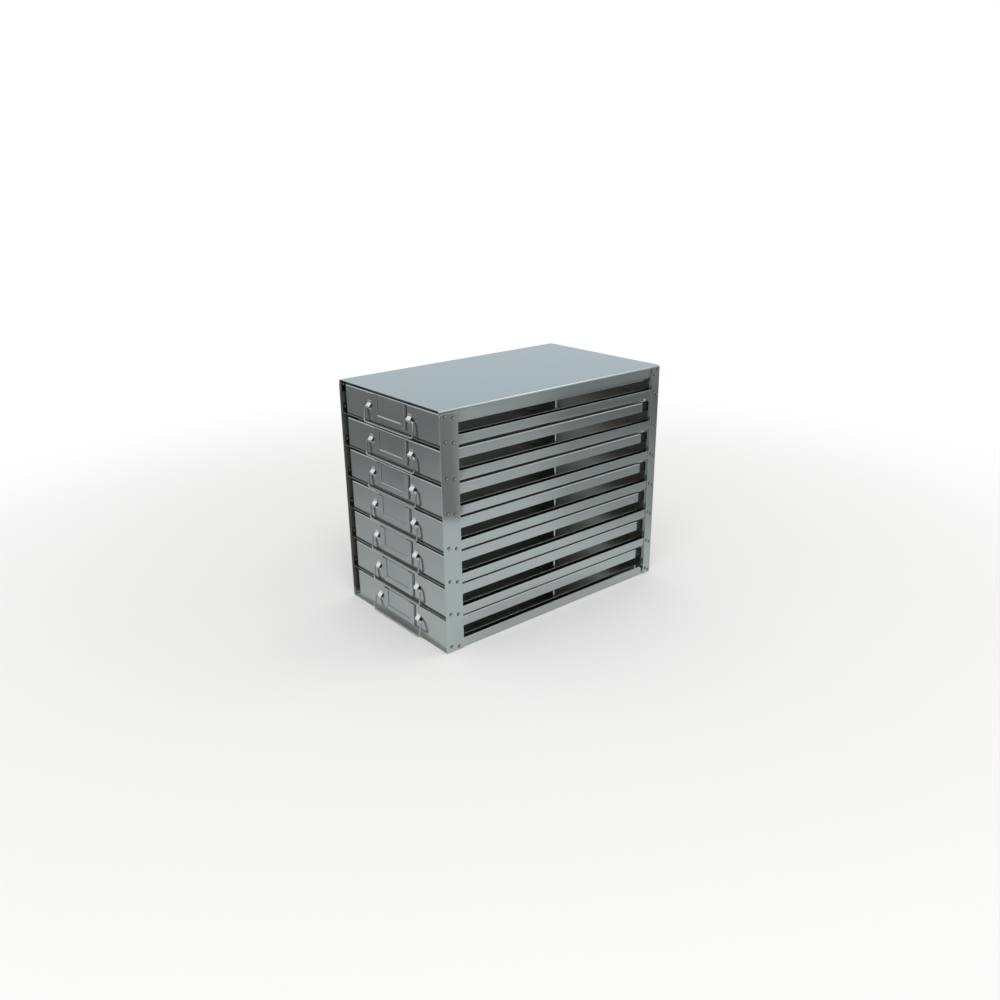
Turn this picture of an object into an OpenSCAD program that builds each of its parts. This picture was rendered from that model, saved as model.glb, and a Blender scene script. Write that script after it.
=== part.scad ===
// Freezer drawer rack: seven flat drawers of folded stainless sheet in a riveted frame.
// Millimetres, +X to the right, +Y to the rear, +Z up.
// The origin is the middle of the footprint, on the floor.

/* [Rack] */
// Outer width over the corner posts
rack_w = 286; // [270:1:320]
// Outer depth over the corner posts
rack_d = 484; // [440:1:540]
// Height from one drawer to the next
bay_pitch = 57; // [54:0.5:70]

/* [Sheet metal] */
// Thickness of the shelves, the top panel and the drawers
sheet = 1; // [0.8:0.1:1.2]
// Thickness of the bottom panel
base_sheet = 2; // [1.6:0.1:2.4]
// Thickness of the corner posts
post_sheet = 1.2; // [1:0.1:1.6]

/* [Corner posts] */
// Width of a front post
front_post_w = 34; // [32:1:40]
// Width of a rear post's side leg
rear_post_w = 19.5; // [19:0.5:24]
// Width of a rear post's back leg
rear_leg_w = 30; // [25:1:40]
// Diameter of a rivet's head
rivet_head_d = 5.6; // [5:0.1:6]

/* [Drawers] */
// Gap between a drawer front and the post beside it
front_side_gap = 8.3; // [6:0.1:10]
// How far a drawer front sits behind the front edges of the posts
front_setback = 6; // [5.5:0.5:8]
// Height of the long window in a drawer's side
window_h = 14.7; // [10:0.1:18]
// Distance from the front edges of the posts to the divider
divider_y = 242; // [180:1:300]

/* [Label holder] */
// Width of the label holder
label_w = 89; // [70:1:100]
// Width of the label holder's folded side lips
label_lip = 11.5; // [8:0.5:16]

/* [Handle] */
// Diameter of the handle's wire
wire_d = 3; // [2.5:0.1:3.5]
// Width of a handle clip
clip_w = 10; // [8:0.5:12]
// Distance of the handle's pivot below the top of the drawer front
pivot_drop = 25; // [22:0.1:28]

/* [Hidden] */
$fn = 48;
drawer_count = 7;
// Overshoot of a cutting solid past the face that it cuts
cut_over = 1;
// How far one length of a sheet runs into the next, so that they are one solid at any size
join_over = 0.3;

// Frame
front_y = -rack_d / 2;
frame_w = rack_w - 2 * post_sheet;
rack_h = base_sheet + drawer_count * bay_pitch;
sheet_bend = 2;
post_bend = 2;
top_bend = 3;
base_inner_bend = 1;
base_bend = base_sheet + base_inner_bend;
shelf_flange = 16;
base_flange = 17;
top_flange = 21;
base_front = 0.5;
shelf_lead = 3.6;
rear_post_gap = 0.2;
notch_web = 2;
shelf_front = front_setback - shelf_lead;
top_rear = rack_d - post_sheet - rear_post_gap;
flange_end = rack_d - post_bend - rear_post_gap;
rear_post_y = rack_d - rear_post_w;
stop_set_back = 6;
stop_y = rear_post_y + stop_set_back;
stop_h = 12;
stop_inset = 5;
stop_half = frame_w / 2 - stop_inset;
stop_relief = 1;
notch_w = 5;
notch_chamfer = 4;
front_post_short = 6;
rear_post_short = 2;
post_corner = 4;

// Rivets
rivet_shank_d = 3.2;
rivet_clearance = 0.05;
rivet_bore_d = rivet_shank_d + 2 * rivet_clearance;
rivet_head_h = 1.5;
rivet_tail_d = 4.8;
rivet_tail_h = 2;
rivet_recess_d = 1.8;
rivet_recess_h = 0.6;
rivet_stagger = 2.15;
rear_top_stagger = -4;
front_rivet_near = 9.5;
front_rivet_far = 24.2;
rear_rivet_near = 6.6;
rear_rivet_far = 14;
front_columns = [front_rivet_near, front_rivet_far];
rear_columns = [rack_d - rear_rivet_far, rack_d - rear_rivet_near];
shelf_rivet_rise = 7.7;
base_rivet_rise = 8;
top_rivet_drop = 11.5;

// Drawer, with heights counted from the shelf that carries it
floor_lift = 0.3;
floor_top = floor_lift + sheet;
front_w = frame_w - 2 * front_side_gap;
front_low = 0.8;
front_headroom = 6.5;
front_top = bay_pitch - front_headroom;
front_bend = 3;
front_top_return = 8;
front_side_return = 12;
tray_w = front_w - 2 * sheet;
tray_lip_y = front_setback + sheet;
tray_lip_floor = 0.5;
tray_front = tray_lip_y + sheet_bend + tray_lip_floor;
tray_stop_gap = 0.5;
tray_rear = stop_y - tray_stop_gap;
tray_lip_h = 12;
tray_lip_inset = 8;
wall_below_front = 1.5;
wall_top = front_top - wall_below_front;
window_low = 16;
window_front_margin = 2;
window_rear_margin = 1.5;
window_front = front_setback + front_side_return + window_front_margin;
window_rear = tray_rear - window_rear_margin;

// Divider
divider_below_wall = 3;
divider_top = wall_top - divider_below_wall;
divider_tab = 5;
divider_foot = 10;
divider_half = tray_w / 2 - sheet;
divider_relief = 1;
divider_low = floor_top + sheet_bend + divider_relief;
foot_inset = 4;

// Label holder
label_sheet = 0.8;
label_slot = 0.8;
label_hem = label_sheet + label_slot / 2;
label_low = 5;
label_below_front = 2.5;
label_top = front_top - label_below_front;
label_lip_step = 0.5;
label_base_lip = label_lip - label_lip_step;
label_mitre_gap = 0.3;

// Handle
clip_sheet = 0.8;
clip_tab = 3;
clip_margin = 8;
clip_front_rise = 1.5;
clip_slope_rise = 5.6;
clip_x = label_w / 2 + clip_margin + clip_w / 2;
handle_gap = 1.3;
pivot_clearance = 0.05;
pivot_off = wire_d / 2 + handle_gap;
pivot_y = front_setback - pivot_off;
pivot_z = front_top - pivot_drop;
clip_bore_r = wire_d / 2 + pivot_clearance;
clip_front = -clip_bore_r - clip_sheet;
clip_low = -clip_bore_r - clip_sheet;
clip_top = clip_front_rise + clip_slope_rise;
clip_slope = clip_slope_rise / (pivot_off - clip_front);
clip_slope_sheet = clip_sheet * sqrt(1 + clip_slope * clip_slope);
wire_end_over = 1;
bail_bend = 5;
bail_corner = 5;
bail_clip_gap = 1.5;
bail_x = clip_x + clip_w / 2 + bail_clip_gap + bail_bend;
bail_below_shelf = 0.9;
bail_drop = pivot_z + bail_below_shelf;
bail_rest_gap = 0.4;
bail_floor_gap = 0.4;
// How far a handle leans out, with its bar in front of its shelf's edge
function rest_tilt(edge) = asin((pivot_y - edge + wire_d / 2 + bail_rest_gap) / bail_drop);
// The lowest handle also stays clear of the floor
floor_tilt = acos((base_sheet + pivot_z - wire_d / 2 - bail_floor_gap) / bail_drop);
shelf_bail_tilt = rest_tilt(shelf_front);
base_bail_tilt = max(floor_tilt, rest_tilt(base_front));

DRAWER_PIECES = ["tray", "front", "divider", "label_holder", "clips", "bail"];

// Height of the surface that carries drawer n, counted from the top drawer down
function bay_floor(n) = base_sheet + (drawer_count - n) * bay_pitch;

// Height of the middle of a rivet pair: level 0 is the top panel, the last level the bottom panel
function rivet_z(level) =
    level == 0 ? rack_h - top_rivet_drop
    : level == drawer_count ? base_rivet_rise
    : bay_floor(level) - sheet + shelf_rivet_rise;

// Depth and height of the two rivets that join one sheet to a post
function rivet_pair(columns, level, lift) =
    [[columns[0], rivet_z(level) + lift], [columns[1], rivet_z(level) - lift]];
function front_pair(level) = rivet_pair(front_columns, level, rivet_stagger);
function rear_pair(level) = rivet_pair(rear_columns, level, level == 0 ? rear_top_stagger : rivet_stagger);

// Placing: depth counted from the front edges of the posts, height from a drawer's shelf
module from_front() translate([0, front_y, 0]) children();
module in_bay(n) translate([0, front_y, bay_floor(n)]) children();
module both_sides() {
    children();
    mirror([1, 0, 0]) children();
}

// A section in X and Z carried along the depth
module along_depth(y0, y1) translate([0, y1, 0]) rotate([90, 0, 0]) linear_extrude(y1 - y0) children();

// A section in Y and Z carried across the width
module across(x0, x1) translate([x0, 0, 0]) rotate([90, 0, 90]) linear_extrude(x1 - x0) children();

// Section of one right-angled fold, from +X round to +Y
module fold(outer, thick) {
    intersection() {
        difference() {
            circle(r = outer);
            circle(r = outer - thick);
        }
        square(outer);
    }
}

// Section of a channel: a web of width w at the bottom and two walls of height h
module channel(w, h, thick, bend) {
    translate([bend - w / 2, 0]) square([w - 2 * bend, thick]);
    both_sides() {
        translate([w / 2 - thick, bend]) square([thick, h - bend]);
        translate([w / 2 - bend, bend]) rotate(-90) fold(bend, thick);
    }
}

// Rivets and their bores
module bore_pair(spots) {
    for (spot = spots)
        translate([-rack_w, spot[0], spot[1]]) rotate([0, 90, 0]) cylinder(d = rivet_bore_d, h = 2 * rack_w);
}

module rivet(grip) {
    half = rivet_head_d / 2;
    dome_r = (half * half + rivet_head_h * rivet_head_h) / (2 * rivet_head_h);
    rotate([0, 90, 0]) rotate_extrude() {
        difference() {
            intersection() {
                translate([0, rivet_head_h - dome_r]) circle(r = dome_r);
                square([half, rivet_head_h]);
            }
            translate([0, rivet_head_h - rivet_recess_h]) square([rivet_recess_d / 2, rivet_head_h]);
        }
        translate([0, -grip]) square([rivet_shank_d / 2, grip]);
        translate([0, -grip - rivet_tail_h]) square([rivet_tail_d / 2, rivet_tail_h]);
    }
}

module post_rivets(front) {
    color("darkgray") from_front() for (level = [0 : drawer_count])
        for (spot = front ? front_pair(level) : rear_pair(level))
            translate([rack_w / 2, spot[0], spot[1]])
                rivet(post_sheet + (level == drawer_count ? base_sheet : sheet));
}

// Frame
module top_panel() {
    notch_top = rack_h - top_bend - notch_web;
    flange_low = rack_h - top_flange;
    color("lightsteelblue") from_front() difference() {
        translate([0, 0, rack_h]) mirror([0, 0, 1])
            along_depth(0, top_rear) channel(frame_w, top_flange, sheet, top_bend);
        across(-rack_w, rack_w) polygon([
            [rear_post_y - notch_w - notch_chamfer, flange_low - cut_over],
            [rear_post_y - notch_w - notch_chamfer, flange_low],
            [rear_post_y - notch_w, flange_low + notch_chamfer],
            [rear_post_y - notch_w, notch_top],
            [rear_post_y, notch_top],
            [rear_post_y, flange_low - cut_over]
        ]);
        bore_pair(front_pair(0));
        bore_pair(rear_pair(0));
    }
}

// Floor sheet with side flanges and a rear lip that stops the drawer, its underside at height 0
module floor_sheet(front, flange, thick, bend) {
    difference() {
        along_depth(front, flange_end) channel(frame_w, flange, thick, bend);
        translate([-stop_half - stop_relief, stop_y + thick - bend, -cut_over])
            cube([2 * (stop_half + stop_relief), rack_d, thick + 2 * cut_over]);
    }
    across(-stop_half, stop_half) {
        translate([stop_y + thick - bend - join_over, 0]) square([join_over, thick]);
        translate([stop_y + thick - bend, bend]) rotate(-90) fold(bend, thick);
        translate([stop_y, bend]) square([thick, stop_h - bend]);
    }
}

module shelf(n) {
    color("silver") from_front() difference() {
        translate([0, 0, bay_floor(n) - sheet]) floor_sheet(shelf_front, shelf_flange, sheet, sheet_bend);
        bore_pair(front_pair(n));
        bore_pair(rear_pair(n));
    }
}

module bottom_panel() {
    notch_low = base_bend + notch_web;
    color("silver") from_front() difference() {
        floor_sheet(base_front, base_flange, base_sheet, base_bend);
        across(-rack_w, rack_w) polygon([
            [rear_post_y - notch_w - notch_chamfer, base_flange + cut_over],
            [rear_post_y - notch_w - notch_chamfer, base_flange],
            [rear_post_y - notch_w, base_flange - notch_chamfer],
            [rear_post_y - notch_w, notch_low],
            [rear_post_y, notch_low],
            [rear_post_y, base_flange + cut_over]
        ]);
        bore_pair(front_pair(drawer_count));
        bore_pair(rear_pair(drawer_count));
    }
}

module front_post() {
    post_h = rack_h - front_post_short;
    color("gainsboro") from_front() difference() {
        across(frame_w / 2, rack_w / 2) {
            translate([post_corner, 0]) square([front_post_w - post_corner, post_h]);
            square([post_corner, post_h - post_corner]);
            intersection() {
                translate([post_corner, post_h - post_corner]) circle(r = post_corner);
                translate([0, post_h - post_corner]) square(post_corner);
            }
        }
        for (level = [0 : drawer_count])
            bore_pair(front_pair(level));
    }
}

module rear_post() {
    color("gainsboro") from_front() difference() {
        linear_extrude(rack_h - rear_post_short) {
            translate([frame_w / 2, rear_post_y]) square([post_sheet, rear_post_w - post_bend]);
            translate([rack_w / 2 - post_bend, rack_d - post_bend]) fold(post_bend, post_sheet);
            translate([rack_w / 2 - rear_leg_w, rack_d - post_sheet])
                square([rear_leg_w - post_bend, post_sheet]);
        }
        for (level = [0 : drawer_count])
            bore_pair(rear_pair(level));
    }
}

// Drawers
module drawer_tray(n) {
    wall_h = wall_top - floor_lift;
    lip_half = tray_w / 2 - tray_lip_inset;
    rear_half = tray_w / 2 - sheet + join_over;
    rear_low = floor_top - join_over;
    color("lightgray") in_bay(n) difference() {
        union() {
            translate([0, 0, floor_lift])
                along_depth(tray_front, tray_rear) channel(tray_w, wall_h, sheet, sheet_bend);
            across(-rear_half, rear_half)
                translate([tray_rear - sheet, rear_low]) square([sheet, wall_top - rear_low]);
            across(-lip_half, lip_half) {
                translate([tray_lip_y, floor_lift + sheet_bend]) square([sheet, tray_lip_h - sheet_bend]);
                translate([tray_lip_y + sheet_bend, floor_lift + sheet_bend])
                    rotate(180) fold(sheet_bend, sheet);
                translate([tray_lip_y + sheet_bend, floor_lift])
                    square([tray_front - tray_lip_y - sheet_bend + join_over, sheet]);
            }
        }
        translate([-rack_w / 2, window_front, window_low])
            cube([rack_w, window_rear - window_front, window_h]);
    }
}

module drawer_front(n) {
    face_half = front_w / 2 - front_bend;
    face_top = front_top - front_bend;
    face_h = face_top - front_low;
    bend_y = front_setback + front_bend;
    color("lightgray") in_bay(n) {
        translate([-face_half, front_setback, front_low]) cube([2 * face_half, sheet, face_h]);
        across(-face_half, face_half)
            translate([bend_y, face_top]) rotate(90) fold(front_bend, sheet);
        translate([0, 0, front_top]) mirror([0, 0, 1])
            along_depth(bend_y, front_setback + front_top_return)
                channel(front_w, front_top - front_low, sheet, front_bend);
        both_sides() {
            translate([face_half, bend_y, front_low])
                linear_extrude(face_h) rotate(-90) fold(front_bend, sheet);
            translate([front_w / 2 - sheet, front_setback + front_top_return, front_low])
                cube([sheet, front_side_return - front_top_return, face_h]);
            translate([face_half, bend_y, face_top]) intersection() {
                difference() {
                    sphere(r = front_bend);
                    sphere(r = front_bend - sheet);
                }
                translate([0, -front_bend, 0]) cube(front_bend);
            }
        }
    }
}

module drawer_divider(n) {
    foot_half = divider_half - foot_inset;
    color("darkgray") in_bay(n) translate([0, divider_y, 0]) {
        translate([0, 0, divider_low]) linear_extrude(divider_top - divider_low)
            channel(2 * divider_half, divider_tab + sheet, sheet, sheet_bend);
        across(-foot_half, foot_half) {
            translate([0, floor_top + sheet_bend])
                square([sheet, divider_low - floor_top - sheet_bend + join_over]);
            translate([sheet_bend, floor_top + sheet_bend]) rotate(180) fold(sheet_bend, sheet);
            translate([sheet_bend, floor_top]) square([divider_foot - sheet_bend, sheet]);
        }
    }
}

module drawer_label_holder(n) {
    outer_x = label_w / 2 - label_hem;
    inner_x = label_w / 2 - label_lip;
    outer_z = label_low + label_hem;
    inner_z = label_low + label_base_lip;
    color("whitesmoke") in_bay(n) translate([0, front_setback, 0]) {
        translate([-outer_x, -label_sheet, outer_z]) cube([2 * outer_x, label_sheet, label_top - outer_z]);
        along_depth(-2 * label_hem, -2 * label_hem + label_sheet) {
            polygon([
                [-outer_x, outer_z],
                [outer_x, outer_z],
                [inner_x, inner_z],
                [-inner_x, inner_z]
            ]);
            both_sides() polygon([
                [outer_x, outer_z + label_mitre_gap],
                [outer_x, label_top],
                [inner_x, label_top],
                [inner_x, inner_z + label_mitre_gap]
            ]);
        }
        across(-outer_x, outer_x) translate([-label_hem, outer_z]) {
            rotate(180) fold(label_hem, label_sheet);
            rotate(-90) fold(label_hem, label_sheet);
        }
        both_sides() translate([outer_x, -label_hem, outer_z + label_mitre_gap])
            linear_extrude(label_top - outer_z - label_mitre_gap) {
                fold(label_hem, label_sheet);
                rotate(-90) fold(label_hem, label_sheet);
            }
    }
}

module drawer_clips(n) {
    inner_top = clip_top - clip_slope_sheet;
    inner_front = clip_front + clip_sheet;
    color("white") in_bay(n) translate([0, pivot_y, pivot_z]) both_sides()
        across(clip_x - clip_w / 2, clip_x + clip_w / 2) {
            difference() {
                polygon([
                    [pivot_off, clip_top],
                    [clip_front, clip_front_rise],
                    [clip_front, clip_low],
                    [pivot_off, clip_low]
                ]);
                polygon([
                    [pivot_off + cut_over, inner_top + clip_slope * cut_over],
                    [inner_front, inner_top - clip_slope * (pivot_off - inner_front)],
                    [inner_front, clip_low + clip_sheet],
                    [pivot_off + cut_over, clip_low + clip_sheet]
                ]);
            }
            translate([pivot_off - clip_sheet, inner_top])
                square([clip_sheet, clip_slope_sheet + clip_tab]);
            translate([pivot_off - clip_sheet, clip_low - clip_tab])
                square([clip_sheet, clip_tab + clip_sheet]);
        }
}

// Quarter turn of the handle's wire in X and Z, from one angle to a right angle further
module wire_bend(radius, from_angle) {
    rotate([90, 0, 0]) rotate(from_angle) rotate_extrude(angle = 90)
        translate([radius, 0]) circle(d = wire_d);
}

module drawer_bail(n) {
    end_x = clip_x - clip_w / 2 - wire_end_over;
    tilt = n == drawer_count ? base_bail_tilt : shelf_bail_tilt;
    color("white") in_bay(n) translate([0, pivot_y, pivot_z]) rotate([-tilt, 0, 0]) {
        both_sides() {
            translate([end_x, 0, 0]) rotate([0, 90, 0])
                cylinder(d = wire_d, h = bail_x - bail_bend - end_x);
            translate([bail_x - bail_bend, 0, -bail_bend]) wire_bend(bail_bend, 0);
            translate([bail_x, 0, bail_corner - bail_drop])
                cylinder(d = wire_d, h = bail_drop - bail_corner - bail_bend);
            translate([bail_x - bail_corner, 0, bail_corner - bail_drop]) wire_bend(bail_corner, -90);
        }
        translate([bail_corner - bail_x, 0, -bail_drop]) rotate([0, 90, 0])
            cylinder(d = wire_d, h = 2 * (bail_x - bail_corner));
    }
}

top_panel();
bottom_panel();
mirror([1, 0, 0]) front_post();  // post_front_left
front_post();  // post_front_right
mirror([1, 0, 0]) rear_post();  // post_rear_left
rear_post();  // post_rear_right
mirror([1, 0, 0]) post_rivets(true);  // rivets_front_left
post_rivets(true);  // rivets_front_right
mirror([1, 0, 0]) post_rivets(false);  // rivets_rear_left
post_rivets(false);  // rivets_rear_right
for (n = [1 : drawer_count - 1])
    shelf(n);
for (n = [1 : drawer_count]) {
    drawer_tray(n);
    drawer_front(n);
    drawer_divider(n);
    drawer_label_holder(n);
    drawer_clips(n);
    drawer_bail(n);
}
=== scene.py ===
"""Freezer drawer rack of satin stainless sheet: seven drawers in a riveted frame, on a pale studio floor.

Places and overall sizes come from the CAD frame. Sheet, fold and wire sizes are settings in the scene.
"""
from collections import namedtuple
from math import atan2, cos, hypot, pi, radians, sin, tan

import bmesh
import bpy
from mathutils import Matrix, Vector


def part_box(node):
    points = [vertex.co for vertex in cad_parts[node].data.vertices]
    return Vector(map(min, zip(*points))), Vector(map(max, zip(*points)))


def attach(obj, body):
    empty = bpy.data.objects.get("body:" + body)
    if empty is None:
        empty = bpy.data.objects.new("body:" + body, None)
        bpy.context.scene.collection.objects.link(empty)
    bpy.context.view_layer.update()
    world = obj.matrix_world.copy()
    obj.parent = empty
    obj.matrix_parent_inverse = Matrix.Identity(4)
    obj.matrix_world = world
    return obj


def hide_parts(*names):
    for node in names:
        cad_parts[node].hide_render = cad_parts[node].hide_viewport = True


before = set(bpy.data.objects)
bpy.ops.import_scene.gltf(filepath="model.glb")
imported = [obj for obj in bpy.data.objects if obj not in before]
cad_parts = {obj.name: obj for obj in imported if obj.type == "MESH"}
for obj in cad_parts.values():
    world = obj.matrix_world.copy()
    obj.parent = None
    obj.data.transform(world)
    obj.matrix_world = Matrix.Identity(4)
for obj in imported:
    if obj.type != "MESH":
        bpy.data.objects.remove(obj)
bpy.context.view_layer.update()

bl_info = {
    "name": "Freezer drawer rack",
    "version": (1, 0, 0),
    "blender": (4, 5, 0),
    "location": "3D View > Sidebar > Rack",
    "description": "Builds the visible pieces of a freezer drawer rack and its studio",
    "category": "Object",
}

MM = 0.001
CLOSE = 1e-6
DRAWERS = range(1, 8)
SHELVES = range(1, 7)
WHITE = (1, 1, 1, 1)
SMOOTH = {"interpolation_type": "SMOOTHSTEP"}
MATH, VECTOR_MATH, MAP_RANGE = "ShaderNodeMath", "ShaderNodeVectorMath", "ShaderNodeMapRange"
MIX = "ShaderNodeMix"
# Share of a sheet's thickness, from its outer side, past which a face counts as the inside
INSIDE_SHARE = 0.58
# Edges sharper than these are rounded on sheet, and stay sharp in the shading of wire and rivets
SHEET_ANGLE, WIRE_ANGLE, RIVET_ANGLE = radians(50), radians(40), radians(38)
# A rivet's head: rings of its mesh, how far and how fast its dome falls, and the share of it that is sunk
RINGS, DOME_FALL, DOME_POWER, RECESS_SHARE = 6, 0.82, 2.4, 0.25
HEAD_SIDES, TAIL_SIDES = 28, 20
# Depth of the thin disc that the head is raised from
HEAD_SLICE = 0.2 * MM
# Radii of a clip's bends, in thicknesses of its strap
CLIP_BENDS = (0.7, 1.1, 1.1, 0.7)
# Steps of a fold, of a label holder's hem and of its lips' curved edges
BEND_STEPS, HEM_STEPS, CURL_STEPS = 6, 10, 5
# Middle of the pool of light on the floor, to the right of the rack and ahead of it
POOL = (0.45, -0.15, 0)
# Camera solved from the picture's corners, shelf lines and rivets
CAMERA_PLACE = (1.1788, -0.9843, 0.7349)
CAMERA_TURN, CAMERA_RISE, CAMERA_ROLL = radians(50.46), radians(20.36), radians(-0.61)
CAMERA_LENS = 32.47
# Soft lamps: name, setting of the power, place and size
LAMPS = (("studio_key", "key", (1.2, -1.0, 2.2), (1.5, 1.1)),
         ("studio_rim", "rim", (0.75, 1.25, 1.75), (0.9, 0.6)))
LAMP_AIM = (0, 0, 0.2)


def length(name, words, size):
    """A length setting, given in millimetres."""
    return bpy.props.FloatProperty(
        name=name, description=words, default=size * MM, unit="LENGTH", precision=5)


def share(name, words, size):
    """A setting between 0 and 1."""
    return bpy.props.FloatProperty(
        name=name, description=words, default=size, min=0, max=1, subtype="FACTOR")


def colour(name, words, code):
    """A colour setting, given as an sRGB hex code."""
    return bpy.props.FloatVectorProperty(
        name=name, description=words, default=linear(code), subtype="COLOR", size=3)


def linear(code):
    """Linear red, green and blue of an sRGB hex code."""
    parts = [int(code[i:i + 2], 16) / 255 for i in (1, 3, 5)]
    return tuple(c / 12.92 if c <= 0.04045 else ((c + 0.055) / 1.055) ** 2.4 for c in parts)


class RackFrameSizes(bpy.types.PropertyGroup):
    sheet: length("Sheet", "Thickness of shelves, top panel and drawers", 1)
    base_sheet: length("Base sheet", "Thickness of the bottom panel", 2)
    post_sheet: length("Post sheet", "Thickness of the corner posts", 1.2)
    shelf_bend: length("Shelf bend", "Outer radius of the shelves' and rear posts' folds", 2)
    top_bend: length("Top bend", "Outer radius of the top and bottom panels' folds", 3)
    post_corner: length("Post corner", "Radius of a front post's upper corner", 4)
    stop_gap: length("Stop gap", "Gap between a drawer and its stop", 0.5)
    stop_inset: length("Stop inset", "Drawer stop's distance from the side", 5)
    stop_relief: length("Stop relief", "Slit beside the drawer stop", 1)
    stop_height: length("Stop height", "Drawer stop's height over the underside", 12)
    notch: length("Notch", "Width of the notch ahead of the rear post", 5)
    notch_chamfer: length("Notch chamfer", "Chamfer at the notch", 4)
    notch_web: length("Notch web", "Flange left over the fold at the notch", 2)
    edge: length("Edge", "Rounding of the cut edges of the sheet", 0.35)


class RackDrawerSizes(bpy.types.PropertyGroup):
    bend: length("Bend", "Outer radius of the tray's and divider's folds", 2)
    front_bend: length("Front bend", "Outer radius of the drawer front's folds", 3)
    top_return: length("Top return", "Depth of the drawer front's upper return", 8)
    side_return: length("Side return", "Depth of the drawer front's side returns", 12)
    lip_floor: length("Lip floor", "Floor between the tray's front lip and its walls", 2.5)
    lip_inset: length("Lip inset", "Distance of the tray's front lip from its walls", 8)
    lip_height: length("Lip height", "Height of the tray's front lip", 12)
    window_low: length("Window low", "Side window's height over the underside", 15.7)
    window_height: length("Window height", "Height of the side window", 14.7)
    window_front: length("Window front", "Window's distance from the wall's front end", 10.5)
    window_rear: length("Window rear", "Window's distance from the wall's rear end", 1.5)
    rail_fold: length("Rail fold", "Width of the fold on a tray side's upper edge", 7)
    rail_bend: length("Rail bend", "Outer radius of that fold", 3)
    divider_foot: length("Divider foot", "Height of the divider's foot", 3)
    foot_inset: length("Foot inset", "Distance of the divider's foot from its sides", 4)
    divider_tab: length("Divider tab", "Depth of the divider's side tabs", 2.8)


class RackHandleSizes(bpy.types.PropertyGroup):
    label_sheet: length("Label sheet", "Thickness of the label holder", 0.8)
    label_hem: length("Label hem", "Outer radius of the label holder's folds", 1.2)
    label_lip: length("Label lip", "Width of the label holder's side lips", 11.5)
    label_base_lip: length("Label base lip", "Width of the label holder's lower lip", 11)
    label_curl: length("Label curl", "Width of a lip's edge that curves in", 2.8)
    label_curl_depth: length("Label curl depth", "How far that edge curves in", 0.7)
    label_mitre: length("Label mitre", "Gap between the lips at a corner", 0.3)
    clip_sheet: length("Clip sheet", "Thickness of a handle clip", 0.8)
    clip_width: length("Clip width", "Width of a handle clip", 10)
    clip_face: length("Clip face", "Height of the clip's upright face", 3.85)
    clip_tab: length("Clip tab", "Length of the clip's tabs", 3)
    wire: length("Wire", "Diameter of the handle's wire", 3)
    wire_end: length("Wire end", "Depth of the wire's end inside the clip", 1.5)
    bail_bend: length("Bail bend", "Radius of the wire's upper bends, to its middle", 5)
    bail_corner: length("Bail corner", "Radius of the wire's lower bends, to its middle", 5)


class RackRivetSizes(bpy.types.PropertyGroup):
    head: length("Head", "Diameter of a rivet's head", 5.6)
    recess: length("Recess", "Depth of the recess in a rivet's head", 0.6)
    tail: length("Tail", "Diameter of a rivet's tail", 4.8)
    tail_height: length("Tail height", "Height of a rivet's tail", 2)
    front_near: length("Front near", "First rivet's distance from the post's front", 9.5)
    front_far: length("Front far", "Second rivet's distance from the post's front", 24.2)
    rear_near: length("Rear near", "Last rivet's distance from the post's back", 6.6)
    rear_far: length("Rear far", "Next rivet's distance from the post's back", 14)
    stagger: length("Stagger", "Half the height between a pair's rivets", 2.15)
    top_stagger: length("Top stagger", "The same at the top panel's rear ends, turned over", -4)
    shelf_rise: length("Shelf rise", "Height of a pair over its shelf's underside", 7.7)
    base_rise: length("Base rise", "Height of the lowest pair over the floor", 8)
    top_drop: length("Top drop", "Depth of the highest pair below the rack's top", 11.5)


class RackFinish(bpy.types.PropertyGroup):
    sheet_tone: colour("Sheet", "Colour of the satin sheet", "#ACB2B3")
    front_tone: colour("Front", "Colour of the ground drawer fronts", "#AAAFAF")
    # Painted shade: a little darker than the fronts, for the shade on the plate behind the lips
    label_tone: colour("Label", "Colour of the label holders", "#A6ABAB")
    wire_tone: colour("Wire", "Colour of the drawn wire", "#9EA1A1")
    clip_tone: colour("Clip", "Colour of the pressed clips", "#DCDDDB")
    rivet_tone: colour("Rivet", "Colour of the middle of a rivet", "#A39A90")
    rim_tone: colour("Rivet rim", "Colour of the dull rim of a rivet", "#463C33")
    post_rough: share("Post roughness", "Roughness of the posts", 0.1)
    post_inside_rough: share("Post inside roughness", "Roughness of the front posts' inner sides", 0.5)
    # Painted shade: a dark grey for the shade in the gaps between the drawers, on the shelves' broad faces
    # and the front posts' inner sides
    shelf_tone: colour("Shelf", "Colour of shelves' faces and front posts' inner sides", "#84857F")
    # Painted light: a lighter, warmer tone inside the trays for the light that falls into them
    tray_tone: colour("Tray", "Colour of the inside of the trays", "#C9CAC2")
    inside_rough: share("Inside roughness", "Roughness of the inside of trays and shelves", 0.3)
    sheet_rough: share("Sheet roughness", "Roughness of the panels, shelves and trays", 0.08)
    front_rough: share("Front roughness", "Roughness of the drawer fronts", 0.2)
    wire_rough: share("Wire roughness", "Roughness of the wire", 0.16)
    rivet_rough: share("Rivet roughness", "Roughness of the rivets", 0.32)


class RackStage(bpy.types.PropertyGroup):
    floor_tone: colour("Floor", "Colour of the floor", "#F4F4F3")
    back_tone: colour("Backdrop", "Backdrop that the top panel reflects", "#D7E3E9")
    flag_tone: colour("Flag", "Dark flag that the front post reflects", "#959593")
    sky: bpy.props.FloatProperty(name="Sky", description="Strength of the even light", default=0.82)
    key: bpy.props.FloatProperty(name="Key", description="Soft lamp ahead", default=14, subtype="POWER")
    rim: bpy.props.FloatProperty(name="Rim", description="Soft lamp behind", default=2.4, subtype="POWER")


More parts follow.
